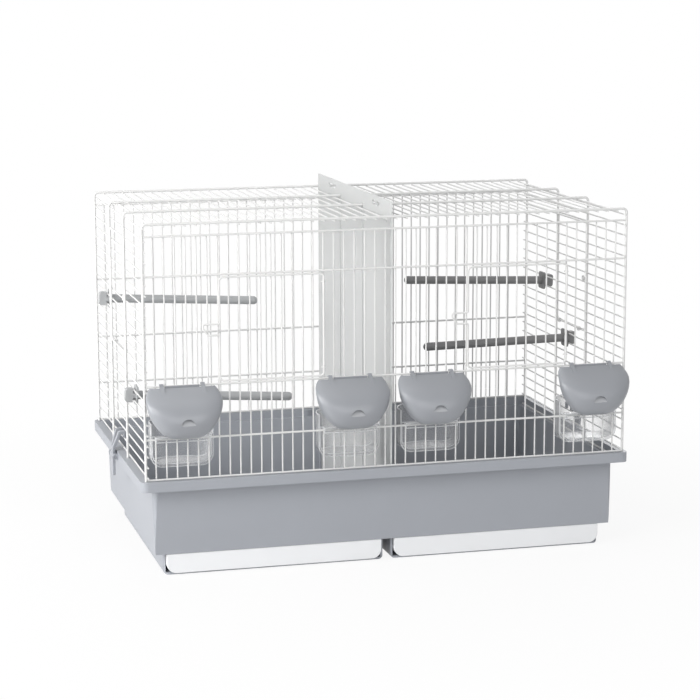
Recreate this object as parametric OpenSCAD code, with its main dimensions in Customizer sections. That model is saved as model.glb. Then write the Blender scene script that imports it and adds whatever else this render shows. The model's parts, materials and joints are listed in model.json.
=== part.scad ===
/* [Wire cage] */
// Distance between neighbouring thin wires
wire_pitch = 12.5; // [12:0.5:14]
// Upright wires across the front, the two end legs among them
wire_count = 48; // [44:4:60]
// Depth from the front hoop to the rear hoop
cage_depth = 355; // [340:5:400]
// Height from the bottom rail to the hoops' roof
cage_height = 297; // [290:1:340]
// Diameter of the four bent hoops
hoop_d = 3; // [2.6:0.1:3.4]
// Diameter of the long front and rear rails
rail_d = 2.4; // [2:0.1:2.8]
// Diameter of the thin wires of the grilles
thin_d = 1.8; // [1.4:0.1:2]
// Radius of a hoop's bend at the roof, to its centre line
hoop_bend = 5; // [4:1:12]
// Depth of the front middle hoop
hoop_mid_front_y = 127.5; // [120:0.5:140]
// Depth of the rear middle hoop
hoop_mid_rear_y = 235; // [225:1:250]
// Length by which a thin wire stands past the last hoop
wire_nub = 2; // [1:0.5:3]
// Height of the lowest side wire over the bottom rail
side_wire_start = 2.5; // [2.4:0.1:4]

/* [Front rails] */
// Height of the rail that the cups hang on
cup_rail_z = 47.5; // [44:0.5:50]
// Height of the rail that the hoods turn on
hood_rail_z = 109.5; // [106:0.5:112]
// Height of the rail over the front doors
door_rail_z = 237; // [232:1:240]
// Drop of the top front rail below the roof
top_rail_drop = 14; // [12:1:18]

/* [Doors] */
// Pitches from the end of a cabin to the front door's free edge
door_start = 7; // [6:1:8]
// Width of a front door in pitches
door_span = 10; // [8:1:10]
// Diameter of the door frames' wire
door_d = 2.2; // [1.8:0.1:2.4]
// Corner radius of a door frame, to its centre line
door_bend = 5; // [4:0.5:8]
// Gap between a door frame and the rail or hoop beside it
door_gap = 1; // [0.6:0.1:1.6]
// Diameter of the wire of the eyes and hinge curls
curl_d = 1.6; // [1.4:0.1:1.8]
// Radius of a latch eye, to its centre line
eye_r = 2.9; // [2.6:0.1:3.4]
// Reach of a latch eye's centre from its door frame
eye_reach = 9; // [8:0.5:10]
// Distance of a front door's free edge from the upright beside it
door_trim = 1.25; // [1:0.25:2]
// Height of a front door's latch loop over the bottom rail
front_loop_z = 173; // [150:1:200]
// Reach of a front door's latch loop past the door's edge
loop_reach = 19.5; // [17:0.5:21]
// Height of a front door's latch loop
loop_h = 13; // [11:0.5:16]
// Height of a side door's latch eye over the bottom rail
side_eye_z = 193; // [170:1:220]
// Side wire that a side door hangs on, counted from the lowest
side_door_first = 10; // [9:1:11]
// Side wire at the top of a side door
side_door_last = 21; // [18:1:21]

/* [Feeders] */
// Width of a feeder opening in pitches
feeder_span = 7; // [7:1:8]
// Width of a hood
hood_w = 89; // [84:1:92]
// Height of a hood below its rail
hood_h = 58; // [56:1:62]
// Distance that a hood stands out from the front rails
hood_out = 36.5; // [30:0.5:40]
// Distance of a hood's lower edge from the front wires
hood_gap = 14; // [8:1:16]
// Wall of a hood
hood_wall = 2; // [1.6:0.2:2.4]
// Distance between a hood's two hooks
hook_spacing = 48; // [44:1:50]
// Width of one hook
hook_w = 4.5; // [3:0.5:5]
// Width of a cup
cup_w = 74; // [66:1:80]
// Depth of a cup behind the front wires
cup_depth = 42; // [36:1:50]
// Height of a cup's floor over the bottom rail
cup_floor_z = 13.5; // [10:0.5:18]
// Height that a cup's side walls stand over the cup rail
cup_rise = 18; // [14:1:24]
// Wall of a cup
cup_wall = 1.8; // [1.4:0.1:2.4]
// Thickness of a cup's base
cup_base = 3.2; // [2:0.2:4]
// Radius of a cup's bottom corners
cup_corner = 14; // [10:1:18]
// Radius of a cup's rear corners, seen from above
cup_round = 30; // [20:1:34]
// Length of the cup's lip below the top of its rail
lip_drop = 7; // [5:0.5:8]

/* [Perches] */
// Diameter of a perch
perch_d = 10.5; // [9:0.5:12]
// Length of a perch from the side wires to its round end
perch_length = 193; // [170:1:210]
// Height of a perch's inner plate
perch_plate_h = 22; // [20:1:24]
// Width of a perch's inner plate
perch_plate_w = 22; // [18:1:24]
// Thickness of a perch's inner plate
perch_plate_t = 2.2; // [1.8:0.2:3]
// Thickness of a perch's outer lug
perch_lug_t = 9; // [5:0.5:12]
// Length of a perch's outer lug
perch_lug_h = 16.5; // [15:0.5:19]

/* [Partition] */
// Thickness of the partition sheet
sheet_t = 2; // [1.5:0.25:3]
// Height that the sheet stands over the hoops' roof
sheet_rise = 17; // [14:1:24]
// Distance from the front hoop to the sheet's front edge
sheet_front = 4.2; // [4.2:0.2:6]
// Distance from the sheet's rear edge to the rear hoop
sheet_back = 7; // [5:0.5:12]
// Width of the sheet's slots for the middle hoops
sheet_slot = 5; // [4.5:0.25:6]
// Distance of the sheet from the middle of the cage, to the right
sheet_offset = 1.75; // [0:0.25:2]

/* [Tray] */
// Height of the tray from its feet to its rim
tray_h = 118; // [110:1:130]
// Distance that the rim stands out from the hoops
rim_out = 6.5; // [6:0.5:9]
// Depth of the rim's skirt
rim_skirt = 12; // [10:1:14]
// Wall of the tray
tray_wall = 2.5; // [2:0.25:3]
// Distance of the rim's inner edge from the hoops
rim_lip = 3.5; // [3:0.25:4]
// Depth of the ledge inside the rim
ledge_drop = 9.5; // [8:0.5:9.5]
// Distance from the hoops to the tray's side walls
body_inset_x = 8; // [7:0.5:12]
// Distance from the hoops to the tray's front and rear walls
body_inset_y = 8; // [7:0.5:12]
// Draw-in of the walls from rim to bottom, on each side
draft = 3.5; // [1:0.5:5]
// Corner radius of the tray's walls
body_corner = 11; // [9:1:16]
// Corner radius of the rim
rim_corner = 9; // [7:1:12]
// Height of the two drawer bays below the walls
bay_h = 26.5; // [23:0.5:30]
// Gap between the two bays
bay_gap = 10; // [9:1:12]
// Step in from the tray's walls to the bays below them
bay_step = 10.5; // [6:0.5:14]
// Distance of the bays' open ends behind the tray's front wall
bay_setback = 7; // [3:1:10]
// Depth of the drawers
drawer_depth = 286; // [260:1:300]
// Height of the tray's raised rear floor over its feet
rear_floor_z = 12; // [9:1:14]
// Height of the ribs that hold the partition's foot
guide_rib_h = 8; // [6:1:10]

/* [Drawers] */
// Wall of a drawer
drawer_wall = 1.8; // [1.4:0.2:2.4]
// Radius along a drawer's lower edges
drawer_corner = 11.5; // [8:0.5:11.5]
// Clearance between a drawer and its bay
drawer_gap = 0.6; // [0.4:0.1:1]

/* [Latch clips] */
// Width of a latch clip's two arms along the rim
clip_w = 24; // [20:1:28]
// Width of a latch clip's stem
clip_stem = 10; // [8:1:14]
// Depth of the latch clips' centre from the front hoop
clip_y = 177.5; // [170:0.5:190]
// Distance of a clip's pivot from the rim's edge
clip_out = 3.5; // [3.2:0.1:4]
// Drop of a clip's pivot below the tray's rim
clip_drop = 6; // [5:0.5:7]
// Length of a clip's tail below its pivot
clip_tail = 25; // [20:1:28]

/* [Hidden] */
$fn = 32;
weld = 0.05;                 // wires that are welded lie this far apart
play = 0.35;                 // least gap between pieces that move past each other
hoop_r = hoop_d / 2;
rail_r = rail_d / 2;
thin_r = thin_d / 2;
door_r = door_d / 2;
curl_r = curl_d / 2;
cage_w = (wire_count - 1) * wire_pitch;
cabin_wires = wire_count / 2;
thin_in = hoop_r + thin_r + weld;        // thin wires lie this far inside the hoops
upright_y = rail_r + thin_r + weld;      // front uprights lie behind the rails
top_rail_z = cage_height - top_rail_drop;
side_x = cage_w / 2 - thin_in;
side_wires = floor((cage_height - hoop_bend - side_wire_start) / wire_pitch) + 1;
back_rails = [0, cup_rail_z + 1.5, hood_rail_z, door_rail_z - 52.5];
feeders = [door_start / 2, cabin_wires - door_start + 2.5,
           cabin_wires + door_start / 2, wire_count - door_start + 2.5];
doors = [door_start, cabin_wires + door_start];
door_y = -0.2;
door_low = hood_rail_z + rail_r + door_gap + door_r;
door_high = door_rail_z - rail_r - door_gap - door_r;
curl_ring_r = thin_r + play + curl_r;
side_door_low = side_level(side_door_first);
side_door_high = side_level(side_door_last) + thin_r + door_r;
side_door_front = hoop_mid_front_y + hoop_r + door_gap + door_r;
side_door_rear = hoop_mid_rear_y - hoop_r - door_gap - door_r;
side_door_mid = (side_door_front + side_door_rear) / 2;

rim_w = cage_w + 2 * rim_out;
rim_front = -rim_out;
rim_back = cage_depth + rim_out;
hood_back = rail_r + play;               // plane of the hoods' open side
front_y = (hood_back + hood_out - rim_back) / 2;
base_z = tray_h + rail_r + weld;         // height of the bottom rail
body_half = cage_w / 2 - body_inset_x;
body_front = body_inset_y;
body_back = cage_depth - body_inset_y;
wall_low = bay_h;                        // the walls end here and the bays start
bay_outer = body_half - draft - bay_step;
bay_inner = bay_outer - tray_wall;
bay_mid = bay_gap / 2 + tray_wall;
bay_front = body_front + draft + bay_setback;
drawer_front = body_front + draft + 0.6;
bay_back = drawer_front + drawer_depth + drawer_gap;
ledge_top = tray_h - ledge_drop;
bridge_top = wall_low + tray_wall;
rib_in = sheet_t / 2 + play;
drawer_low = tray_wall + play;
drawer_h = wall_low - drawer_low - play;

lip_w = cup_w - 2 * cup_wall - 6;
lip_top = cup_rail_z + rail_r + play + cup_wall;
skirt_y = -rail_r - play - cup_wall;     // front of the cup's lip
lip_room = 8;                            // height by which a cup can be lifted off its rail
perch_gap = 0.8;                         // room between perch plates and wires for a slight droop
perch_core_d = wire_pitch - thin_d - 2 * play;
perch_lug_w = perch_core_d - 0.4;
// Each perch: side, depth, gap between side wires from the lowest, droop of its free end
perches = [[-1, 279, 13, 3.2], [-1, 90, 6, 3.6], [1, 277, 13, -2.3], [1, 189.5, 8, 1]];

clip_r = 1.5;                            // pivot pin
clip_pin_gap = 0.3;
clip_t = 3.2;
clip_catch = side_level(1) + thin_r + play;

white_wire = [0.93, 0.93, 0.91];
grey_plastic = [0.56, 0.58, 0.61];
dark_plastic = [0.40, 0.41, 0.43];
clear_plastic = [0.86, 0.89, 0.90, 0.45];
milky_plastic = [0.80, 0.82, 0.81, 0.7];
white_plastic = [0.93, 0.94, 0.96];

// ---- places ----

function column_x(i) = (i - (wire_count - 1) / 2) * wire_pitch;
function side_level(k) = side_wire_start + k * wire_pitch;
function in_feeder(i) = len([for (f = feeders) if (abs(i - f) < feeder_span / 2 - 0.1) 1]) > 0;
function in_door(i) = len([for (d = doors) if (i > d && i < d + door_span) 1]) > 0;

// The cage's own place: depth counted from the front hoop, height from the bottom rail
module on_cage() {
    translate([0, front_y, base_z]) children();
}

// The tray's own place: depth counted from the front hoop, height from the feet
module on_tray() {
    translate([0, front_y, 0]) children();
}

// ---- wires ----

module wire_x(x0, x1, y, z, r) {
    translate([x0, y, z]) rotate([0, 90, 0]) cylinder(h = x1 - x0, r = r);
}

module wire_y(y0, y1, x, z, r) {
    translate([x, y0, z]) rotate([-90, 0, 0]) cylinder(h = y1 - y0, r = r);
}

module wire_z(z0, z1, x, y, r) {
    translate([x, y, z0]) cylinder(h = z1 - z0, r = r);
}

// Quarter bend in the XY plane round the origin
module bend(radius, r, from = 0) {
    rotate([0, 0, from]) rotate_extrude(angle = 90) translate([radius, 0]) circle(r = r);
}

// Wire in the XY plane along a path of corners [x, y, bend radius]
module bent_wire(path, r) {
    function at(i) = [path[i][0], path[i][1]];
    function way(i) = (at(i + 1) - at(i)) / norm(at(i + 1) - at(i));
    function turn(i) = atan2(cross(way(i - 1), way(i)), way(i - 1) * way(i));
    function cut(i) = i == 0 || i == len(path) - 1 ? 0 : path[i][2] * tan(abs(turn(i)) / 2);
    for (i = [0:len(path) - 2])
        translate(at(i) + way(i) * cut(i)) rotate([0, 0, atan2(way(i)[1], way(i)[0])])
            wire_x(0, norm(at(i + 1) - at(i)) - cut(i) - cut(i + 1), 0, 0, r);
    for (i = [1:len(path) - 2]) {
        t = turn(i);
        side = [-way(i - 1)[1], way(i - 1)[0]] * sign(t);
        translate(at(i) - way(i - 1) * cut(i) + side * path[i][2])
            rotate([0, 0, atan2(-side[1], -side[0]) + min(t, 0)])
                rotate_extrude(angle = abs(t)) translate([path[i][2], 0]) circle(r = r);
    }
}

// Latch eye in the XY plane, at the end of a stem along +X
module latch_eye() {
    translate([eye_reach, 0, 0]) rotate_extrude() translate([eye_r, 0]) circle(r = curl_r);
    for (s = [-1, 1])
        wire_x(0, eye_reach - eye_r, s * curl_r * 1.1, 0, curl_r);
}

// Ring that turns on a thin wire, round the Z axis
module hinge_curl() {
    rotate_extrude() translate([curl_ring_r, 0]) circle(r = curl_r);
}

module hoop(y) {
    color(white_wire) on_cage() translate([0, y, 0]) {
        wire_x(hoop_bend - cage_w / 2, cage_w / 2 - hoop_bend, 0, cage_height, hoop_r);
        for (s = [-1, 1]) {
            wire_z(-rail_r, cage_height - hoop_bend, s * cage_w / 2, 0, hoop_r);
            translate([s * (cage_w / 2 - hoop_bend), 0, cage_height - hoop_bend])
                rotate([90, 0, 0]) bend(hoop_bend, hoop_r, s > 0 ? 0 : 90);
        }
    }
}

module roof_wires(first, last) {
    color(white_wire) on_cage() for (i = [first:last])
        wire_y(-hoop_r - wire_nub, cage_depth + hoop_r, column_x(i), cage_height - thin_in, thin_r);
}

module side_wires(s) {
    front_end = -hoop_r - wire_nub;
    rear_end = cage_depth + hoop_r + wire_nub;
    color(white_wire) on_cage() for (k = [0:side_wires - 1])
        if (k > side_door_first && k < side_door_last) {
            wire_y(front_end, hoop_mid_front_y + hoop_r / 2, s * side_x, side_level(k), thin_r);
            wire_y(hoop_mid_rear_y - hoop_r / 2, rear_end, s * side_x, side_level(k), thin_r);
        } else
            wire_y(front_end, rear_end, s * side_x, side_level(k), thin_r);
    // base wire on the ledge inside the tray's rim
    color(white_wire) on_cage()
        wire_y(rim_lip + 2.5, cage_depth - rim_lip - 2.5, s * (cage_w / 2 - rim_lip - weld - rail_r),
               ledge_top - base_z + weld + rail_r, rail_r);
}

// Uprights behind the front rails, cut out at the feeders and the doors
module front_wires(first, last) {
    color(white_wire) on_cage() for (i = [first:last]) {
        cuts = concat(
            in_feeder(i) ? [[cup_rail_z, hood_rail_z]] : [],
            in_door(i) ? [[hood_rail_z, door_rail_z]] : []);
        starts = concat([0], [for (c = cuts) c[1]]);
        ends = concat([for (c = cuts) c[0]], [top_rail_z]);
        for (n = [0:len(cuts)])
            wire_z(starts[n] - thin_r, ends[n] + thin_r, column_x(i), upright_y, thin_r);
    }
}

module back_wires(first, last) {
    color(white_wire) on_cage() for (i = [first:last])
        wire_z(-rail_r, cage_height + thin_r, column_x(i), cage_depth + thin_in, thin_r);
}

module front_rail(z) {
    half = cage_w / 2 - hoop_r - weld;
    color(white_wire) on_cage() wire_x(-half, half, 0, z, rail_r);
}

module back_rails() {
    half = cage_w / 2 - hoop_r - weld;
    y = cage_depth + thin_in - thin_r - rail_r - weld;
    color(white_wire) on_cage() for (z = back_rails) wire_x(-half, half, y, z, rail_r);
}

// ---- doors ----

// One wire round the door; its free edge runs out into the latch loop
module front_door_frame(first) {
    x0 = column_x(first) + door_trim;
    x1 = column_x(first + door_span);
    mid = (door_low + door_high) / 2;
    up = front_loop_z + loop_h / 2;
    down = front_loop_z - loop_h / 2;
    color(white_wire) on_cage() {
        translate([0, door_y, 0]) rotate([90, 0, 0])
            bent_wire([[x1, mid, 0], [x1, door_high, door_bend], [x0, door_high, door_bend],
                       [x0, up, 2], [x0 - loop_reach, up, 2], [x0 - loop_reach, up - 5, 2.1],
                       [x0 - loop_reach + 0.75 * (loop_h - 5), down, 2], [x0, down, 2],
                       [x0, door_low, door_bend], [x1, door_low, door_bend], [x1, mid, 0]], door_r);
        for (z = [door_low + 2 * door_bend, door_high - 2 * door_bend])
            translate([x1, upright_y, z]) hinge_curl();
    }
}

module front_door_bars(first) {
    y = door_y + door_r + thin_r + weld;
    color(white_wire) on_cage() for (i = [first + 1:first + door_span - 1])
        wire_z(door_low - thin_r, door_high + thin_r, column_x(i), y, thin_r);
}

module side_door_frame(s) {
    mid = side_door_mid;
    color(white_wire) on_cage() {
        translate([s * cage_w / 2, 0, 0]) rotate([90, 0, 90])
            bent_wire([[mid, side_door_low, 0], [side_door_rear, side_door_low, door_bend],
                       [side_door_rear, side_door_high, door_bend],
                       [side_door_front, side_door_high, door_bend],
                       [side_door_front, side_door_low, door_bend], [mid, side_door_low, 0]], door_r);
        translate([s * cage_w / 2, side_door_front, side_eye_z]) rotate([90, 0, 90]) latch_eye();
        for (y = [side_door_front + 3 * door_bend, side_door_rear - 3 * door_bend])
            translate([s * side_x, y, side_door_low]) rotate([90, 0, 0]) hinge_curl();
    }
}

module side_door_bars(s) {
    x = s * (cage_w / 2 - door_r - thin_r - weld);
    color(white_wire) on_cage() for (k = [side_door_first + 1:side_door_last - 1])
        wire_y(side_door_front - thin_r, side_door_rear + thin_r, x, side_level(k), thin_r);
}

// ---- feeders ----

hood_steps = 22;                         // spaces between the points of one slice
hood_slices = [0.02, 0.05, 0.1, 0.17, 0.25, 0.34, 0.44, 0.54, 0.64, 0.72, 0.79, 0.84,
               0.88, 0.92, 0.96, 0.985, 1];

// Form of a hood at a share of its height: half width, depth and distance of its edge
function hood_half(s) = s < 0.25
    ? 1 - 0.17 * pow((0.25 - s) / 0.25, 2)
    : let (u = (s - 0.25) / 0.75) 1 - 0.5 * pow(u, 1.9) - 0.15 * pow(u, 12);
function hood_depth(s) = s < 0.64
    ? sin(90 * pow(s / 0.64, 0.9))
    : let (u = (s - 0.64) / 0.36) 0.5 + 0.5 * sqrt(max(0, 1 - u * u));
function hood_edge(s) = let (u = min(1, max(0, (s - 0.02) / 0.3))) hood_gap * u * u * (3 - 2 * u);

// One skin of a hood, slice by slice from its top edge, each from left to right
function hood_skin(wall) = [
    for (s = hood_slices)
        let (w = hood_w / 2 * hood_half(s) - wall, edge = hood_edge(s),
             out = max(0.2, hood_out * hood_depth(s) - edge - wall))
        for (j = [0:hood_steps])
            let (a = 180 * j / hood_steps, c = cos(a), q = sin(a), n = 2 / 3.1)
            [-w * sign(c) * pow(abs(c), n), -edge - out * pow(abs(q), n),
             -wall - s * (hood_h - 2 * wall)]
];

module hood_shell() {
    m = hood_steps + 1;
    rows = len(hood_slices);
    n = m * rows;
    skin = [
        for (i = [0:rows - 2], j = [0:hood_steps - 1])
            let (a = i * m + j, b = a + 1, c = a + m + 1, d = a + m)
            for (f = [[a, b, c], [a, c, d], [n + a, n + c, n + b], [n + a, n + d, n + c]]) f];
    ends = [
        for (j = [0:hood_steps - 1])
            let (a = j, b = j + 1, c = n - m + j, d = n - m + j + 1)
            for (f = [[b, a, n + a], [b, n + a, n + b], [c, d, n + d], [c, n + d, n + c]]) f];
    sides = [
        for (i = [0:rows - 2])
            let (a = i * m, b = a + m, c = a + hood_steps, d = c + m)
            for (f = [[a, b, n + b], [a, n + b, n + a], [d, c, n + c], [d, n + c, n + d]]) f];
    polyhedron(points = concat(hood_skin(0), hood_skin(hood_wall)), faces = concat(skin, ends, sides));
}

// Half-moon recess for a fingertip, low on the hood: flat below, arched and deep above
module finger_recess() {
    front = hood_out * 0.99;
    low = -0.7 * hood_h;
    intersection() {
        translate([0, 0, low]) rotate([90, 0, 0]) cylinder(h = hood_out + 5, r = 8.3);
        translate([-9, 0, 0]) rotate([90, 0, 90]) linear_extrude(18)
            polygon([[-front - 6, low], [-front - 0.5, low], [4.4 - front, low + 7],
                     [4.4 - front, low + 10], [-front - 6, low + 10]]);
    }
}

// Open hook that turns on the hood rail, with a fin down the hood's face
module hood_hook() {
    inner = rail_r + play;
    outer = inner + 1.7;
    translate([-hook_w / 2, 0, 0]) rotate([90, 0, 90]) linear_extrude(hook_w) difference() {
        union() {
            circle(r = outer);
            polygon([[-outer, 0.4], [-4.4, 1], [-17.4, -10.3], [-15, -12.5], [-3, -5], [-2, -2]]);
        }
        circle(r = inner);
        translate([0, -outer - 1]) square([outer + 1, outer + 1]);
    }
}

module hood(f) {
    color(grey_plastic) on_cage() translate([column_x(f), 0, hood_rail_z]) {
        translate([0, -hood_back, 0]) difference() {
            union() {
                hood_shell();
                translate([-10, 6 - hood_out * 0.99, -0.74 * hood_h])
                    mirror([0, 1, 0]) cube([20, 4.9, 0.21 * hood_h]);
                translate([-20, -1.4, -4]) cube([40, 1.4, 5]);
            }
            finger_recess();
        }
        for (s = [-1, 1]) translate([s * hook_spacing / 2, 0, 0]) hood_hook();
    }
}

// Rounded-bottom outline standing on the X axis
module cup_outline(w, h, r) {
    translate([-w / 2, r]) square([w, h - r]);
    translate([r - w / 2, 0]) square([w - 2 * r, h]);
    for (s = [-1, 1]) translate([s * (w / 2 - r), r]) circle(r = r);
}

// A cup's block: rounded seen from the front and, at the rear, from above
module cup_block(w, depth, h, r, round) {
    intersection() {
        translate([0, depth, 0]) rotate([90, 0, 0]) linear_extrude(depth) cup_outline(w, h, r);
        translate([0, depth, 0]) mirror([0, 1, 0]) linear_extrude(h) cup_outline(w, depth, round);
    }
}

module cup(f) {
    front = upright_y + thin_r + play;
    h = cup_rail_z + cup_rise - cup_floor_z;
    color(clear_plastic) on_cage() translate([column_x(f), 0, 0]) difference() {
        union() {
            translate([0, front, cup_floor_z]) cup_block(cup_w, cup_depth, h, cup_corner, cup_round);
            translate([-lip_w / 2, skirt_y, lip_top - cup_wall])
                cube([lip_w, front + cup_wall - skirt_y, cup_wall]);
            translate([-lip_w / 2, skirt_y, lip_top - lip_drop]) cube([lip_w, cup_wall, lip_drop]);
        }
        translate([0, front + cup_wall, cup_floor_z + cup_base])
            cup_block(cup_w - 2 * cup_wall, cup_depth - 2 * cup_wall, h, cup_corner - cup_wall,
                      cup_round - cup_wall);
        translate([cup_wall - cup_w / 2, front - 1, lip_top])
            cube([cup_w - 2 * cup_wall, cup_wall + 3, h]);
    }
}

// ---- perches ----

// Round-ended rod along +Z
module perch_rod(length) {
    r = perch_d / 2;
    rotate_extrude() {
        square([r, length - r]);
        translate([0, length - r]) intersection() {
            circle(r = r);
            square([r, r]);
        }
    }
}

// Square with round corners in the XY plane
module soft_square(w, h, r) {
    square([w, h - 2 * r], center = true);
    square([w - 2 * r, h], center = true);
    for (x = [-1, 1], y = [-1, 1]) translate([x * (w / 2 - r), y * (h / 2 - r)]) circle(r = r);
}

module perch(p) {
    wires_out = thin_in - thin_r - perch_gap;
    wires_in = thin_in + thin_r + perch_gap;
    color(dark_plastic) on_cage()
        translate([p[0] * cage_w / 2, p[1], side_level(p[2]) + wire_pitch / 2])
            mirror([p[0] > 0 ? 1 : 0, 0, 0])
                translate([thin_in, 0, 0]) rotate([0, p[3], 0]) translate([-thin_in, 0, 0]) {
                    intersection() {
                        translate([wires_out + 2 - perch_lug_t / 2, 0, 0]) rotate([90, 0, 0])
                            translate([0, 0, -perch_lug_w / 2]) linear_extrude(perch_lug_w)
                                soft_square(perch_lug_t + 4, perch_lug_h, 3.4);
                        translate([wires_out - perch_lug_t, -10, -10]) cube([perch_lug_t, 20, 20]);
                    }
                    wire_x(wires_out - 1, wires_in + 1, 0, 0, perch_core_d / 2);
                    translate([wires_in, 0, 0]) rotate([0, 90, 0]) linear_extrude(perch_plate_t)
                        soft_square(perch_plate_h, perch_plate_w, 4);
                    translate([wires_in + perch_plate_t - 1, 0, 0]) rotate([0, 90, 0])
                        perch_rod(perch_length - perch_plate_t);
                }
}

// ---- partition ----

module partition() {
    low = bridge_top + play - base_z;
    high = cage_height + sheet_rise;
    rear = cage_depth - sheet_back;
    neck_front = body_front + draft + tray_wall + play;
    neck_rear = body_back - draft - tray_wall - play;
    shoulder = ledge_top + play - base_z;
    slot_top = cage_height + hoop_r + play;
    grip_z = cage_height + sheet_rise / 2;
    color(milky_plastic) on_cage() translate([sheet_offset - sheet_t / 2, 0, 0]) difference() {
        union() {
            translate([0, sheet_front, shoulder])
                cube([sheet_t, rear - sheet_front, high - shoulder]);
            translate([0, neck_front, low]) cube([sheet_t, neck_rear - neck_front, shoulder - low + 1]);
        }
        for (y = [hoop_mid_front_y, hoop_mid_rear_y])
            translate([-1, y - sheet_slot / 2, low - 1]) cube([sheet_t + 2, sheet_slot, slot_top - low + 1]);
        for (q = [[53, 67], [71.5, 85.5], [259, 292]]) sheet_hole(q[0], q[1], grip_z, 5.2);
        sheet_hole(21, 26, grip_z - 15.5, 4);
    }
}

// Long round-ended hole through the sheet
module sheet_hole(y0, y1, z, d) {
    translate([-1, 0, z]) {
        for (y = [y0 + d / 2, y1 - d / 2]) translate([0, y, 0]) rotate([0, 90, 0])
            cylinder(h = sheet_t + 2, d = d);
        translate([0, y0 + d / 2, -d / 2]) cube([sheet_t + 2, y1 - y0 - d, d]);
    }
}

// ---- tray and drawers ----

module rounded_plate(w, y0, y1, r, h) {
    linear_extrude(h) {
        translate([-w / 2, y0 + r]) square([w, y1 - y0 - 2 * r]);
        translate([r - w / 2, y0]) square([w - 2 * r, y1 - y0]);
        for (x = [-1, 1], y = [y0 + r, y1 - r]) translate([x * (w / 2 - r), y]) circle(r = r);
    }
}

// Tub with walls that draw in downwards; grow moves every wall outwards
module tub(grow, low, high) {
    half = body_half + grow;
    front = body_front - grow;
    rear = body_back + grow;
    slope = draft / (tray_h - wall_low);
    d0 = slope * (tray_h - low);
    d1 = slope * (tray_h - high);
    intersection() {
        translate([0, rear + 1, 0]) rotate([90, 0, 0]) linear_extrude(rear - front + 2)
            polygon([[d0 - half, low], [half - d0, low], [half - d1, high], [d1 - half, high]]);
        translate([-half - 1, 0, 0]) rotate([90, 0, 90]) linear_extrude(2 * half + 2)
            polygon([[front + d0, low], [rear - d0, low], [rear - d1, high], [front + d1, high]]);
        translate([0, 0, low]) rounded_plate(2 * half, front, rear, body_corner + grow, high - low);
    }
}

// Cross-section of a bay, from the middle gap to the side wall
module bay_outline(r) {
    translate([bay_gap / 2, r]) square([bay_outer - bay_gap / 2, wall_low + 1 - r]);
    translate([bay_gap / 2 + r, 0]) square([bay_outer - bay_gap / 2 - 2 * r, wall_low + 1]);
    for (x = [bay_gap / 2 + r, bay_outer - r]) translate([x, r]) circle(r = r);
}

module tray_bays() {
    intersection() {
        translate([0, body_back, 0]) rotate([90, 0, 0]) linear_extrude(body_back - body_front)
            for (s = [0, 1]) mirror([s, 0, 0]) bay_outline(5);
        rounded_plate(2 * bay_outer, bay_front, body_back - draft - 1, body_corner - draft,
                      wall_low + 1);
    }
}

// Ears on the rim's skirt that hold a latch clip's pin
module clip_ears() {
    px = rim_w / 2 + clip_out;
    pz = tray_h - clip_drop;
    for (s = [-1, 1])
        translate([0, clip_y + s * (clip_w / 2 + play + 1.5) + 1.5, 0]) rotate([90, 0, 0])
            difference() {
                union() {
                    translate([px, pz, 0]) cylinder(h = 3, r = clip_r + 2);
                    translate([rim_w / 2 - 1, pz - clip_r - 2, 0])
                        cube([clip_out + 1, 2 * clip_r + 4, 3]);
                }
                translate([px, pz, -1]) cylinder(h = 5, r = clip_r + clip_pin_gap);
            }
}

module clip_window() {
    translate([rim_w / 2 - tray_wall - 1, clip_y - clip_stem / 2 - 3, tray_h - rim_skirt - 1])
        cube([tray_wall + 2, clip_stem + 6, rim_skirt + 1 - tray_wall]);
}

// Ribs on both sides of the sheet's foot, with pillars up the front and the rear wall
module partition_guides() {
    z = bridge_top - 1;
    front = body_front + draft + 1;
    rear = body_back - draft - 1;
    for (s = [-1, 1]) translate([sheet_offset + (s > 0 ? rib_in : -rib_in - 2), 0, 0]) {
        translate([0, front + 1, z]) cube([2, rear - front - 2, guide_rib_h + 1]);
        for (q = [[front, 1], [rear, -1]]) rotate([90, 0, 90]) linear_extrude(2)
            polygon([[q[0], z], [q[0] + q[1] * 6, z], [q[0] + q[1] * 6, ledge_top - 1],
                     [q[0] - q[1] * (draft - 0.5), ledge_top - 1]]);
    }
}

// Inverted channel round the tray's mouth: skirt, rim, inner face and ledge
module rim_channel() {
    low = tray_h - rim_skirt;
    core = rim_lip - tray_wall;
    difference() {
        translate([0, 0, low]) rounded_plate(rim_w, rim_front, rim_back, rim_corner, rim_skirt);
        difference() {
            translate([0, 0, low - 1])
                rounded_plate(rim_w - 2 * tray_wall, rim_front + tray_wall, rim_back - tray_wall,
                              rim_corner - tray_wall, rim_skirt + 1 - tray_wall);
            translate([0, 0, low - 2])
                rounded_plate(cage_w - 2 * core, core, cage_depth - core, 3, rim_skirt + 4);
        }
        translate([0, 0, ledge_top])
            rounded_plate(cage_w - 2 * rim_lip, rim_lip, cage_depth - rim_lip, 2, rim_skirt);
        translate([sheet_offset - 15.5, cage_depth - rim_lip - 1, ledge_top])
            cube([6, tray_wall + 0.5, ledge_drop - tray_wall]);
        for (s = [0, 1]) mirror([s, 0, 0]) clip_window();
    }
}

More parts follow.
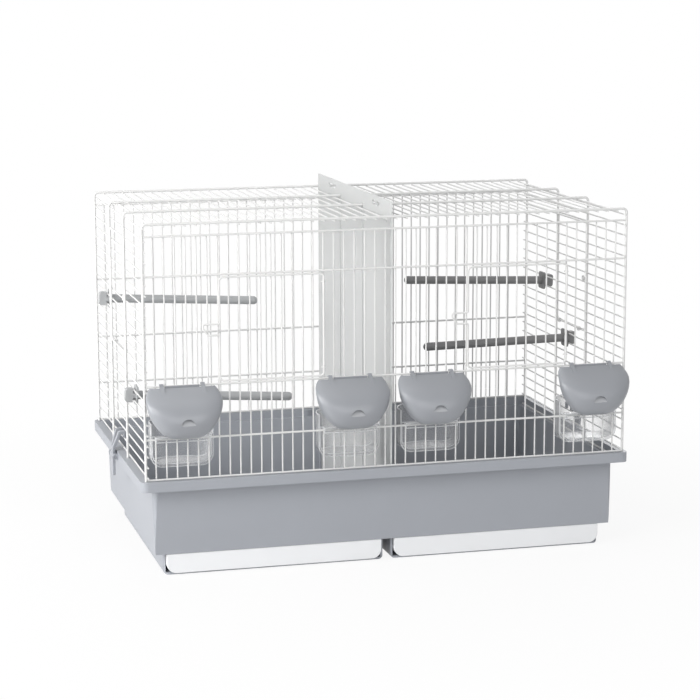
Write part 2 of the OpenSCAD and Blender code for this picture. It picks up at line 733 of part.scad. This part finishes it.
module tray() {
    floor_top = rear_floor_z + tray_wall;
    color(grey_plastic) on_tray() difference() {
        union() {
            rim_channel();
            difference() {
                union() {
                    tub(0, wall_low, ledge_top - 1);
                    tray_bays();
                }
                tub(-tray_wall, bridge_top, tray_h + 1);
                for (s = [0, 1]) mirror([s, 0, 0]) {
                    translate([bay_mid, 0, tray_wall])
                        cube([bay_inner - bay_mid, bay_back, wall_low - tray_wall]);
                    translate([bay_mid, bay_front + tray_wall, wall_low - 1])
                        cube([bay_inner - bay_mid, bay_back - bay_front - tray_wall, 12]);
                    translate([bay_mid, bay_back - 1, floor_top])
                        cube([bay_inner - bay_mid, body_back - draft - 1 - tray_wall - bay_back + 1,
                              wall_low + 11 - floor_top]);
                    translate([bay_gap / 2, bay_back + tray_wall, -1])
                        cube([bay_outer, body_back, rear_floor_z + 1]);
                }
            }
            partition_guides();
            for (s = [0, 1]) mirror([s, 0, 0]) clip_ears();
        }
        tub(-tray_wall, tray_h - rim_skirt - 1, tray_h + 1);
    }
}

module drawer_outline(w, h, r) {
    translate([0, r]) square([w, h - r]);
    translate([r, 0]) square([w - 2 * r, h]);
    for (x = [r, w - r]) translate([x, r]) circle(r = r);
}

module drawer(s) {
    w = bay_inner - bay_mid - 2 * drawer_gap;
    color(white_plastic) on_tray() mirror([s > 0 ? 0 : 1, 0, 0])
        translate([bay_mid + drawer_gap, drawer_front, drawer_low]) difference() {
            translate([0, drawer_depth, 0]) rotate([90, 0, 0]) linear_extrude(drawer_depth)
                drawer_outline(w, drawer_h, drawer_corner);
            translate([drawer_wall, drawer_depth - drawer_wall, drawer_wall]) rotate([90, 0, 0])
                linear_extrude(drawer_depth - 2 * drawer_wall)
                    drawer_outline(w - 2 * drawer_wall, drawer_h, drawer_corner - drawer_wall);
        }
}

// ---- latch clips ----

// Side view of a clip: depth outwards from the hoop along X, height over the pivot along Y
module clip_side() {
    px = rim_out + clip_out;
    top = clip_catch + rail_r + weld + clip_drop;
    reach = -thin_in - thin_r;
    translate([px - clip_t / 2, -clip_tail]) square([clip_t, clip_tail + 12]);
    translate([px, 0]) circle(r = clip_r + 1.5);
    polygon([[px - clip_t / 2, 9], [px + clip_t / 2, 11], [5, top + 6.5], [3, top + 7.5],
             [reach, top + 7.5], [reach, top], [reach + 2.4, top], [reach + 2.4, top + 4],
             [2, top + 4]]);
}

// Front view of a clip: one stem that parts into two arms
module clip_front() {
    top = clip_catch + rail_r + weld + clip_drop + 8;
    translate([-clip_stem / 2, -clip_tail]) square([clip_stem, clip_tail + 8]);
    translate([-clip_w / 2, -clip_r - 1.5]) square([clip_w, 2 * clip_r + 3]);
    polygon([[-clip_stem / 2, 0], [clip_stem / 2, 0], [clip_w / 2, top - 9], [clip_w / 2, top],
             [clip_w / 2 - 6, top], [clip_w / 2 - 6, top - 7], [0, 9], [6 - clip_w / 2, top - 7],
             [6 - clip_w / 2, top], [-clip_w / 2, top], [-clip_w / 2, top - 9]]);
}

module latch_clip(s) {
    pz = base_z - clip_drop - rail_r - weld;
    color(grey_plastic) on_tray() mirror([s > 0 ? 0 : 1, 0, 0]) {
        intersection() {
            translate([cage_w / 2, clip_y + clip_w / 2, pz]) rotate([90, 0, 0])
                linear_extrude(clip_w) clip_side();
            translate([cage_w / 2 - 5, clip_y, pz]) rotate([90, 0, 90])
                linear_extrude(rim_out + clip_out + 12) clip_front();
        }
        translate([cage_w / 2 + rim_out + clip_out, clip_y + clip_w / 2 + 3, pz])
            rotate([90, 0, 0]) cylinder(h = clip_w + 6, r = clip_r);
    }
}

tray();
hoop(0);  // hoop_front
hoop(hoop_mid_front_y);  // hoop_mid_front
hoop(hoop_mid_rear_y);  // hoop_mid_rear
hoop(cage_depth);  // hoop_rear
roof_wires(1, cabin_wires - 1);  // roof_wires_left
roof_wires(cabin_wires, wire_count - 2);  // roof_wires_right
side_wires(-1);  // side_wires_left
side_wires(1);  // side_wires_right
front_wires(1, cabin_wires - 1);  // front_wires_left
front_wires(cabin_wires, wire_count - 2);  // front_wires_right
back_wires(1, cabin_wires - 1);  // back_wires_left
back_wires(cabin_wires, wire_count - 2);  // back_wires_right
front_rail(0);  // front_rail_base
front_rail(cup_rail_z);  // front_rail_cup
front_rail(hood_rail_z);  // front_rail_hood
front_rail(door_rail_z);  // front_rail_door
front_rail(top_rail_z);  // front_rail_top
back_rails();
front_door_frame(doors[0]);  // front_door_frame_left
front_door_bars(doors[0]);  // front_door_bars_left
front_door_frame(doors[1]);  // front_door_frame_right
front_door_bars(doors[1]);  // front_door_bars_right
side_door_frame(-1);  // side_door_frame_left
side_door_bars(-1);  // side_door_bars_left
side_door_frame(1);  // side_door_frame_right
side_door_bars(1);  // side_door_bars_right
hood(feeders[0]);  // hood_1
hood(feeders[1]);  // hood_2
hood(feeders[2]);  // hood_3
hood(feeders[3]);  // hood_4
cup(feeders[0]);  // cup_1
cup(feeders[1]);  // cup_2
cup(feeders[2]);  // cup_3
cup(feeders[3]);  // cup_4
perch(perches[0]);  // perch_1
perch(perches[1]);  // perch_2
perch(perches[2]);  // perch_3
perch(perches[3]);  // perch_4
partition();
drawer(-1);  // drawer_left
drawer(1);  // drawer_right
latch_clip(-1);  // latch_clip_left
latch_clip(1);  // latch_clip_right
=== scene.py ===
import json
import math

import bpy
from mathutils import Matrix, Vector


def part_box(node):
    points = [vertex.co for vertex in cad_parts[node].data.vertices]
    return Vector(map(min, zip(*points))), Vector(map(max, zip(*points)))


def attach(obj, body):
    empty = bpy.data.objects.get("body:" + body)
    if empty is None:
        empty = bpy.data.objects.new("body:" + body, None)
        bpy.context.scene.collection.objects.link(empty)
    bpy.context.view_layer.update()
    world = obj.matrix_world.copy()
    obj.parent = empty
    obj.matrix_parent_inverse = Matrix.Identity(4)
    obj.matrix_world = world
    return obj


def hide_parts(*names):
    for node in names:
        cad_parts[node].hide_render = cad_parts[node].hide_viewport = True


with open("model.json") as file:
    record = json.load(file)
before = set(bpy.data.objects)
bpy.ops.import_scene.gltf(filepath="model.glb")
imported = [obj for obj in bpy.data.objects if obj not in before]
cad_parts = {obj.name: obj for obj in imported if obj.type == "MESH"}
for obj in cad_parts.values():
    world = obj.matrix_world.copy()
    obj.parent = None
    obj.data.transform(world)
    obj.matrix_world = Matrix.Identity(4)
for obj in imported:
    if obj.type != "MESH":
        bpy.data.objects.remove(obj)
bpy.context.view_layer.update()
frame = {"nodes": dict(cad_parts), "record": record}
nodes = frame["nodes"]
scene = bpy.context.scene
bodyOf = {n: body for body, group in frame["record"]["behaviour"]["bodies"].items() for n in group}
print("frame loaded:", len(nodes), "pieces")


def takeHold(*pieces):
    # selects just these, the first one active
    bpy.ops.object.select_all(action="DESELECT")
    for piece in pieces:
        piece.select_set(True)
    if pieces:
        bpy.context.view_layer.objects.active = pieces[0]


def low(node, axis):
    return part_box(node)[0][axis]


def high(node, axis):
    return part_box(node)[1][axis]


def middle(node, axis):
    return (low(node, axis) + high(node, axis)) / 2


cameraSettings = {
    "place": (-0.71045, -2.62563, 0.71975),
    "turn": 15.01,      # degrees round to the object's left
    "down": 10.20,      # degrees
    "roll": -0.14,      # degrees
    "lens": 113.87,     # millimetres, on a sensor of this width
    "sensor": 36,
    "farthest": 60,     # metres
}


def setCamera(s):
    takeHold()
    bpy.ops.object.camera_add(location=s["place"])
    camera = bpy.context.object
    camera.name = "camera"
    camera.data.lens = s["lens"]
    camera.data.sensor_width = s["sensor"]
    camera.data.clip_end = s["farthest"]
    turn = Matrix.Rotation(-math.radians(s["turn"]), 4, "Z")
    tip = Matrix.Rotation(math.radians(90 - s["down"]), 4, "X")
    roll = Matrix.Rotation(math.radians(s["roll"]), 4, "Z")
    camera.matrix_world = Matrix.Translation(s["place"]) @ turn @ tip @ roll
    scene.camera = camera


def newMaterial(name):
    fresh = bpy.data.materials.new(name)
    fresh.use_nodes = True
    return fresh, fresh.node_tree.nodes, fresh.node_tree.links


def setSockets(node, values):
    for name, value in values.items():
        node.inputs[name].default_value = value


plainWhite = (1, 1, 1, 1)
roomSettings = {
    "worldLight": 0.29,
    "floorSize": 90,
    "floorLevel": -0.0004,           # a hair under the cage's feet
    "floorColor": (0.86, 0.86, 0.86, 1),
    "floorRough": 0.9,
    "floorGloss": 0.1,
    "floorWhite": (0.90, 1.0),       # share of plain white seen on the floor, by the cage and far off
    "floorReach": (0.30, 0.95),      # where those two hold, in metres from the middle
    "lampAim": (0, 0, 0.2),
    "lamps": {
        # name: place, size, power, colour
        "keyLamp": ((-1.9, -1.6, 1.9), 1.2, 32, (1.0, 0.99, 0.98)),
        "sideLamp": ((-1.9, -0.3, 0.6), 0.8, 25, (1.0, 0.995, 0.985)),
        "frontLamp": ((0.3, -3.0, 1.2), 1.8, 23, (0.98, 0.99, 1.0)),
        "topLamp": ((-0.2, 0.0, 2.5), 1.5, 9, (1, 1, 1)),
        "backLamp": ((1.5, 2.1, 1.3), 1.4, 18, (1, 1, 1)),
    },
}


def backgroundRay(n, l):
    # 1 where the background is seen straight on, in a gloss or through something clear
    path = n.new("ShaderNodeLightPath")
    first = n.new("ShaderNodeMath")
    second = n.new("ShaderNodeMath")
    first.operation = second.operation = "MAXIMUM"
    l.new(path.outputs["Is Camera Ray"], first.inputs[0])
    l.new(path.outputs["Is Transmission Ray"], first.inputs[1])
    l.new(first.outputs[0], second.inputs[0])
    l.new(path.outputs["Is Glossy Ray"], second.inputs[1])
    return second.outputs[0]


def lightWorld(s):
    world = bpy.data.worlds.new("room")
    scene.world = world
    world.use_nodes = True
    n, l = world.node_tree.nodes, world.node_tree.links
    light = n["Background"]
    setSockets(light, {"Color": plainWhite, "Strength": s["worldLight"]})
    seen = n.new("ShaderNodeBackground")
    setSockets(seen, {"Color": plainWhite})
    mix = n.new("ShaderNodeMixShader")
    l.new(backgroundRay(n, l), mix.inputs[0])
    l.new(light.outputs[0], mix.inputs[1])
    l.new(seen.outputs[0], mix.inputs[2])
    l.new(mix.outputs[0], n["World Output"].inputs[0])


def studioPaper(s):
    # keeps the shadow by the cage and runs into the white background far off
    material, n, l = newMaterial("studioPaper")
    paint = n["Principled BSDF"]
    setSockets(paint, {
        "Base Color": s["floorColor"],
        "Roughness": s["floorRough"],
        "Specular IOR Level": s["floorGloss"],
    })
    glow = n.new("ShaderNodeEmission")
    place = n.new("ShaderNodeTexCoord")
    away = n.new("ShaderNodeVectorMath")
    away.operation = "LENGTH"
    fade = n.new("ShaderNodeMapRange")
    fade.interpolation_type = "SMOOTHSTEP"
    setSockets(fade, dict(zip(("From Min", "From Max"), s["floorReach"])))
    setSockets(fade, dict(zip(("To Min", "To Max"), s["floorWhite"])))
    share = n.new("ShaderNodeMath")
    share.operation = "MULTIPLY"
    mix = n.new("ShaderNodeMixShader")
    l.new(place.outputs["Object"], away.inputs[0])
    l.new(away.outputs["Value"], fade.inputs["Value"])
    l.new(fade.outputs["Result"], share.inputs[1])
    l.new(backgroundRay(n, l), share.inputs[0])
    l.new(share.outputs[0], mix.inputs[0])
    l.new(paint.outputs[0], mix.inputs[1])
    l.new(glow.outputs[0], mix.inputs[2])
    l.new(mix.outputs[0], n["Material Output"].inputs[0])
    return material


def layFloor(s):
    takeHold()
    bpy.ops.mesh.primitive_plane_add(size=s["floorSize"], location=(0, 0, s["floorLevel"]))
    floor = bpy.context.object
    floor.name = "studioFloor"
    floor.data.materials.append(studioPaper(s))


def hangLamps(s):
    for name, (place, size, power, color) in s["lamps"].items():
        takeHold()
        bpy.ops.object.light_add(type="AREA", location=place)
        lamp = bpy.context.object
        lamp.name = name
        lamp.data.size = size
        lamp.data.energy = power
        lamp.data.color = color
        aim = Vector(s["lampAim"]) - Vector(place)
        lamp.rotation_euler = aim.to_track_quat("-Z", "Y").to_euler()


setCamera(cameraSettings)
lightWorld(roomSettings)
layFloor(roomSettings)
hangLamps(roomSettings)
scene.view_settings.view_transform = "Standard"
print("camera, room and lamps set")

# colour, roughness, drift of the tone, scale and depth of the grain, clear coat
finishes = {
    "whiteEnamel": ((0.74, 0.74, 0.735), 0.36, 0.03, 420, 0.10, 0.08),
    "greyMoulding": ((0.352, 0.368, 0.402), 0.44, 0.035, 1500, 0.12, 0.0),
    "hoodMoulding": ((0.296, 0.308, 0.333), 0.36, 0.04, 1400, 0.10, 0.12),
    # painted highlight: a lighter, glossier copy of the hood grey for the finger recess floors
    "polishedMoulding": ((0.43, 0.44, 0.46), 0.22, 0.02, 1400, 0.03, 0.3),
    # painted light and painted shade: a paler and a darker copy of one perch grey
    "paleMoulding": ((0.395, 0.403, 0.412), 0.46, 0.05, 1300, 0.14, 0.0),
    "darkMoulding": ((0.215, 0.215, 0.217), 0.46, 0.07, 1300, 0.16, 0.0),
    "whiteMoulding": ((0.86, 0.87, 0.885), 0.36, 0.02, 1200, 0.06, 0.1),
    "milkySheet": ((0.625, 0.635, 0.635), 0.42, 0.03, 500, 0.08, 0.0),
    # painted light: a lighter copy of the sheet's colour for its cut edge
    "sheetEdge": ((0.72, 0.74, 0.735), 0.4, 0.02, 600, 0.08, 0.0),
    "clearMoulding": ((0.66, 0.67, 0.685), 0.06, 0.01, 160, 0.05, 0.0),
    # painted highlight: a light, nearly opaque colour for the cups' rounded edges
    "clearEdge": ((0.86, 0.87, 0.89), 0.1, 0.01, 160, 0.03, 0.0),
}
surfaceSettings = {
    "coatRough": 0.15,
    "cloudScale": 14,               # slow change of tone over a piece
    "cloudDetail": 3,
    "glossDrift": (-0.05, 0.07),    # handled places are a little glossier
    "grainDetail": 2,               # fine grain of the mould or of the enamel
    "grainHeight": 0.0002,          # metres
}


def mouldedFinish(name, s):
    color, rough, drift, grainScale, grainDepth, coat = finishes[name]
    material, n, l = newMaterial(name)
    body = n["Principled BSDF"]
    setSockets(body, {"Coat Weight": coat, "Coat Roughness": s["coatRough"]})
    place = n.new("ShaderNodeTexCoord")
    cloud = n.new("ShaderNodeTexNoise")
    setSockets(cloud, {"Scale": s["cloudScale"], "Detail": s["cloudDetail"]})
    tone = n.new("ShaderNodeMix")
    tone.data_type = "RGBA"
    setSockets(tone, {
        "A": (*[v * (1 - drift) for v in color], 1),
        "B": (*[min(1, v * (1 + drift)) for v in color], 1),
    })
    sheen = n.new("ShaderNodeMapRange")
    setSockets(sheen, {"To Min": rough + s["glossDrift"][0], "To Max": rough + s["glossDrift"][1]})
    grain = n.new("ShaderNodeTexNoise")
    setSockets(grain, {"Scale": grainScale, "Detail": s["grainDetail"]})
    bump = n.new("ShaderNodeBump")
    setSockets(bump, {"Strength": grainDepth, "Distance": s["grainHeight"]})
    l.new(place.outputs["Object"], cloud.inputs["Vector"])
    l.new(place.outputs["Object"], grain.inputs["Vector"])
    l.new(cloud.outputs["Fac"], tone.inputs["Factor"])
    l.new(cloud.outputs["Fac"], sheen.inputs["Value"])
    l.new(sheen.outputs["Result"], body.inputs["Roughness"])
    l.new(tone.outputs["Result"], body.inputs["Base Color"])
    l.new(grain.outputs["Fac"], bump.inputs["Height"])
    l.new(bump.outputs["Normal"], body.inputs["Normal"])
    return material


finish = {name: mouldedFinish(name, surfaceSettings) for name in finishes}

# how much of a clear wall's own grey shows, by how squarely it is seen: at a glancing view this is a
# painted reflection
clearSettings = {
    "face": 0.0,        # how much a clear wall shows, seen straight on
    "edge": 0.5,        # and at a glancing view, where real clear plastic shows most
    "bend": 0.8,        # how soon the one turns into the other
    # these show the same all round
    "even": {"clearEdge": 0.75, "milkySheet": 0.88, "sheetEdge": 0.95},
}


def letThrough(s):
    tree = finish["clearMoulding"].node_tree
    facing = tree.nodes.new("ShaderNodeLayerWeight")
    setSockets(facing, {"Blend": s["bend"]})
    spread = tree.nodes.new("ShaderNodeMapRange")
    setSockets(spread, {"To Min": s["face"], "To Max": s["edge"]})
    tree.links.new(facing.outputs["Facing"], spread.inputs["Value"])
    tree.links.new(spread.outputs["Result"], tree.nodes["Principled BSDF"].inputs["Alpha"])
    for name, share in s["even"].items():
        setSockets(finish[name].node_tree.nodes["Principled BSDF"], {"Alpha": share})


letThrough(clearSettings)

finishOfKind = {
    "tray": "greyMoulding",
    "hood": "hoodMoulding",
    "latch": "greyMoulding",
    # perches take the darker copy: painted shade, for the shadow of the milky sheet
    "perch": "darkMoulding",
    "cup": "clearMoulding",
    "partition": "milkySheet",
    "drawer": "whiteMoulding",
}
# the two left perches take the paler copy instead: painted light, where the milky sheet casts no
# shadow
finishOfNode = {"perch_1": "paleMoulding", "perch_2": "paleMoulding"}


def kindOf(node):
    return node.split("_")[0]


for node in nodes:
    kindFinish = finishOfKind.get(kindOf(node), "whiteEnamel")
    nodes[node].data.materials.clear()
    nodes[node].data.materials.append(finish[finishOfNode.get(node, kindFinish)])
print("finishes given to", len(nodes), "pieces")

# edges that a mould or a press leaves round: width in metres, steps
roundEdges = {
    "tray": {"width": 0.0009, "steps": 3},
    "hood": {"width": 0.0006, "steps": 3},
    # the cups' rounded edges take a light, nearly opaque finish: a painted highlight
    "cup": {"width": 0.0008, "steps": 2, "edgeFinish": "clearEdge"},
    "perch": {"width": 0.0006, "steps": 2},
    "partition": {"width": 0.0003, "steps": 2},
    "drawer": {"width": 0.0006, "steps": 3},
    "latch": {"width": 0.0004, "steps": 2},
}
mouldSettings = {
    "flatWithin": 0.6,      # degrees: faces this close to one plane become one face
    "sharpOver": 38,        # degrees: edges sharper than this are rounded
    "smoothUnder": 34,      # degrees
    "faceWeight": 90,       # how far the big faces keep their own normal
}
mergeWithin = 0.00001       # metres


def openCopy(node, ending):
    # a merged copy of a CAD node, left in edit mode and all selected
    piece = bpy.data.objects.new(node + ending, nodes[node].data.copy())
    scene.collection.objects.link(piece)
    takeHold(piece)
    bpy.ops.object.mode_set(mode="EDIT")
    bpy.ops.mesh.select_all(action="SELECT")
    bpy.ops.mesh.remove_doubles(threshold=mergeWithin)
    return piece


def standsFor(piece, node):
    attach(piece, bodyOf[node])
    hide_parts(node)


def roundedCopy(node, edge, s):
    piece = openCopy(node, "Moulded")
    bpy.ops.mesh.dissolve_limited(angle_limit=math.radians(s["flatWithin"]))
    bpy.ops.object.mode_set(mode="OBJECT")
    soft = piece.modifiers.new("roundEdges", "BEVEL")
    soft.width = edge["width"]
    soft.segments = edge["steps"]
    soft.limit_method = "ANGLE"
    soft.angle_limit = math.radians(s["sharpOver"])
    soft.miter_outer = "MITER_ARC"
    # a second finish on the rounded edges; for the cups this is a painted highlight
    if "edgeFinish" in edge:
        piece.data.materials.append(finish[edge["edgeFinish"]])
        soft.material = 1    # the finish just added
    bpy.ops.object.modifier_apply(modifier=soft.name)
    bpy.ops.object.shade_smooth_by_angle(angle=math.radians(s["smoothUnder"]))
    flat = piece.modifiers.new("flatFaces", "WEIGHTED_NORMAL")
    flat.keep_sharp = True
    flat.weight = s["faceWeight"]
    bpy.ops.object.modifier_apply(modifier=flat.name)
    standsFor(piece, node)
    return piece


moulded = {node: roundedCopy(node, roundEdges[kindOf(node)], mouldSettings)
           for node in nodes if kindOf(node) in roundEdges}
print("round edges on", len(moulded), "mouldings")


def giveSecondFinish(piece, name, chosen):
    piece.data.materials.append(finish[name])
    for face in piece.data.polygons:
        if chosen(face):
            face.material_index = 1


# the cut edge of the milky sheet is given a lighter finish: painted light, for the light the sheet
# gathers there
sheetFace = 0.8     # the normal of the sheet's flat sides has more than this along x
giveSecondFinish(moulded["partition"], "sheetEdge", lambda face: abs(face.normal.x) < sheetFace)

# the floor of a hood's finger recess is given a lighter, glossier finish: a painted highlight where
# the upward-facing floor catches the light
recessSettings = {
    "halfWidth": 0.0085,
    "lowest": -0.0415,      # from the middle of the hood rail
    "highest": -0.0325,
    "lean": 0.3,            # the floor faces up and out by more than this
}


def paintRecessHighlight(node, s):
    across = middle(node, 0)
    rail = middle("front_rail_hood", 2)

    def isFloor(face):
        beside = abs(face.center.x - across)
        rise = face.center.z - rail
        leans = face.normal.z > s["lean"] and face.normal.y < -s["lean"]
        return leans and beside < s["halfWidth"] and s["lowest"] < rise < s["highest"]

    giveSecondFinish(moulded[node], "polishedMoulding", isFloor)


for node in nodes:
    if kindOf(node) == "hood":
        paintRecessHighlight(node, recessSettings)

# the back's uprights stop at a rail of their own, as the front's do
backSettings = {
    "uprights": ("back_wires_left", "back_wires_right"),
    "below": 0.002,      # under the height of the front's top rail
    "wireEnd": 0.0009,   # how far an upright stands past the rail
    "railSides": 20,
    "railEnd": 0.0003,   # rounding of the rail's cut ends
    "railEndSteps": 2,
    "railEndOver": 60,   # degrees: only the ends' edges are sharper than this
}
backRailHeight = middle("front_rail_top", 2) - backSettings["below"]


def trimmedUprights(node, height):
    piece = openCopy(node, "Trimmed")
    bpy.ops.mesh.bisect(plane_co=(0, 0, height), plane_no=(0, 0, 1), clear_outer=True, use_fill=True)
    bpy.ops.object.mode_set(mode="OBJECT")
    standsFor(piece, node)
    return piece


def backTopRail(s, height):
    thick = high("front_rail_top", 2) - low("front_rail_top", 2)
    takeHold()
    bpy.ops.mesh.primitive_cylinder_add(
        vertices=s["railSides"], radius=thick / 2, depth=high("back_rails", 0) - low("back_rails", 0),
        location=(0, middle("back_rails", 1), height), rotation=(0, math.radians(90), 0))
    rail = bpy.context.object
    rail.name = "backTopRail"
    bpy.ops.object.transform_apply(location=True, rotation=True, scale=True)
    ends = rail.modifiers.new("cutEnds", "BEVEL")
    ends.width = s["railEnd"]
    ends.segments = s["railEndSteps"]
    ends.limit_method = "ANGLE"
    ends.angle_limit = math.radians(s["railEndOver"])
    bpy.ops.object.modifier_apply(modifier=ends.name)
    rail.data.materials.append(finish["whiteEnamel"])
    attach(rail, "cage")
    return rail


cutHeight = backRailHeight + backSettings["wireEnd"]
ownWires = [trimmedUprights(node, cutHeight) for node in backSettings["uprights"]]
ownWires.append(backTopRail(backSettings, backRailHeight))

wireSmoothUnder = 35     # degrees
cadWires = [nodes[n] for n in nodes if n not in moulded and n not in backSettings["uprights"]]
takeHold(*cadWires, *ownWires)
bpy.ops.object.shade_smooth_by_angle(angle=math.radians(wireSmoothUnder))
print("wires shaded smooth")

beadSettings = {
    "wide": 0.00135,        # across the thin wire and along the thick one
    "flat": 0.0007,         # through the joint
}
wireSettings = {
    "pitch": 0.0125,
    "columns": 46,
    "levels": 24,
    "frontDoorBars": 9,
    "sideDoorBars": 10,
    "thin": 0.0009,         # half of a thin wire
    "rail": 0.0012,         # half of a rail
    "doorFrame": 0.0011,    # half of a front door's frame wire
    "backRails": (0.0502, 0.1107),    # the two between, above the lowest one's underside
}


def beadRow(name, first, step, count, flatAxis):
    # one bead of weld metal, then the row of them
    size = [beadSettings["wide"]] * 3
    size[flatAxis] = beadSettings["flat"]
    takeHold()
    bpy.ops.mesh.primitive_ico_sphere_add(subdivisions=1, radius=1, location=first, scale=size)
    row = bpy.context.object
    row.name = name
    bpy.ops.object.transform_apply(location=True, rotation=True, scale=True)
    repeat = row.modifiers.new("row", "ARRAY")
    repeat.count = count
    repeat.use_relative_offset = False
    repeat.use_constant_offset = True
    repeat.constant_offset_displace = step
    bpy.ops.object.modifier_apply(modifier=repeat.name)
    return row


def joinAs(rows, name, body):
    takeHold(*rows)
    bpy.ops.object.join()
    piece = bpy.context.object
    piece.name = name
    bpy.ops.object.shade_smooth()
    piece.data.materials.clear()
    piece.data.materials.append(finish["whiteEnamel"])
    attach(piece, body)


def wallFace(node, side):
    # a side wall's wires meet what is outside them here
    return low(node, 0) if side == "left" else high(node, 0)


def weldCage(s):
    along, up = (s["pitch"], 0, 0), (0, 0, s["pitch"])
    firstColumn = low("front_wires_left", 0) + s["thin"]
    firstLevel = high("side_wires_left", 2) - s["thin"] - (s["levels"] - 1) * s["pitch"]
    rows = []
    for rail in ("base", "cup", "hood", "door", "top"):
        first = (firstColumn, low("front_wires_left", 1), middle("front_rail_" + rail, 2))
        rows.append(beadRow("frontWelds", first, along, s["columns"], 1))
    underside = low("back_rails", 2)
    heights = [underside + s["rail"]] + [underside + rise for rise in s["backRails"]]
    heights += [high("back_rails", 2) - s["rail"], backRailHeight]
    for z in heights:
        first = (firstColumn, low("back_wires_left", 1), z)
        rows.append(beadRow("backWelds", first, along, s["columns"], 1))
    for hoop in ("hoop_front", "hoop_mid_front", "hoop_mid_rear", "hoop_rear"):
        y = middle(hoop, 1)
        first = (firstColumn, y, high("roof_wires_left", 2))
        rows.append(beadRow("roofWelds", first, along, s["columns"], 2))
        for side in ("left", "right"):
            first = (wallFace("side_wires_" + side, side), y, firstLevel)
            rows.append(beadRow("sideWelds", first, up, s["levels"], 0))
    joinAs(rows, "cageWelds", "cage")


def weldFrontDoor(side, s):
    bars, edge = "front_door_bars_" + side, "front_door_frame_" + side
    rows = []
    for z in (low(edge, 2) + s["doorFrame"], high(edge, 2) - s["doorFrame"]):
        first = (low(bars, 0) + s["thin"], low(bars, 1), z)
        rows.append(beadRow("doorWelds", first, (s["pitch"], 0, 0), s["frontDoorBars"], 1))
    joinAs(rows, "frontDoorWelds" + side.capitalize(), "front_door_" + side)


def weldSideDoor(side, s):
    bars = "side_door_bars_" + side
    rows = []
    for y in (low(bars, 1) + s["thin"], high(bars, 1) - s["thin"]):
        first = (wallFace(bars, side), y, low(bars, 2) + s["thin"])
        rows.append(beadRow("sideDoorWelds", first, (0, 0, s["pitch"]), s["sideDoorBars"], 0))
    joinAs(rows, "sideDoorWelds" + side.capitalize(), "side_door_" + side)


weldCage(wireSettings)
for side in ("left", "right"):
    weldFrontDoor(side, wireSettings)
    weldSideDoor(side, wireSettings)
print("weld beads on the wires")
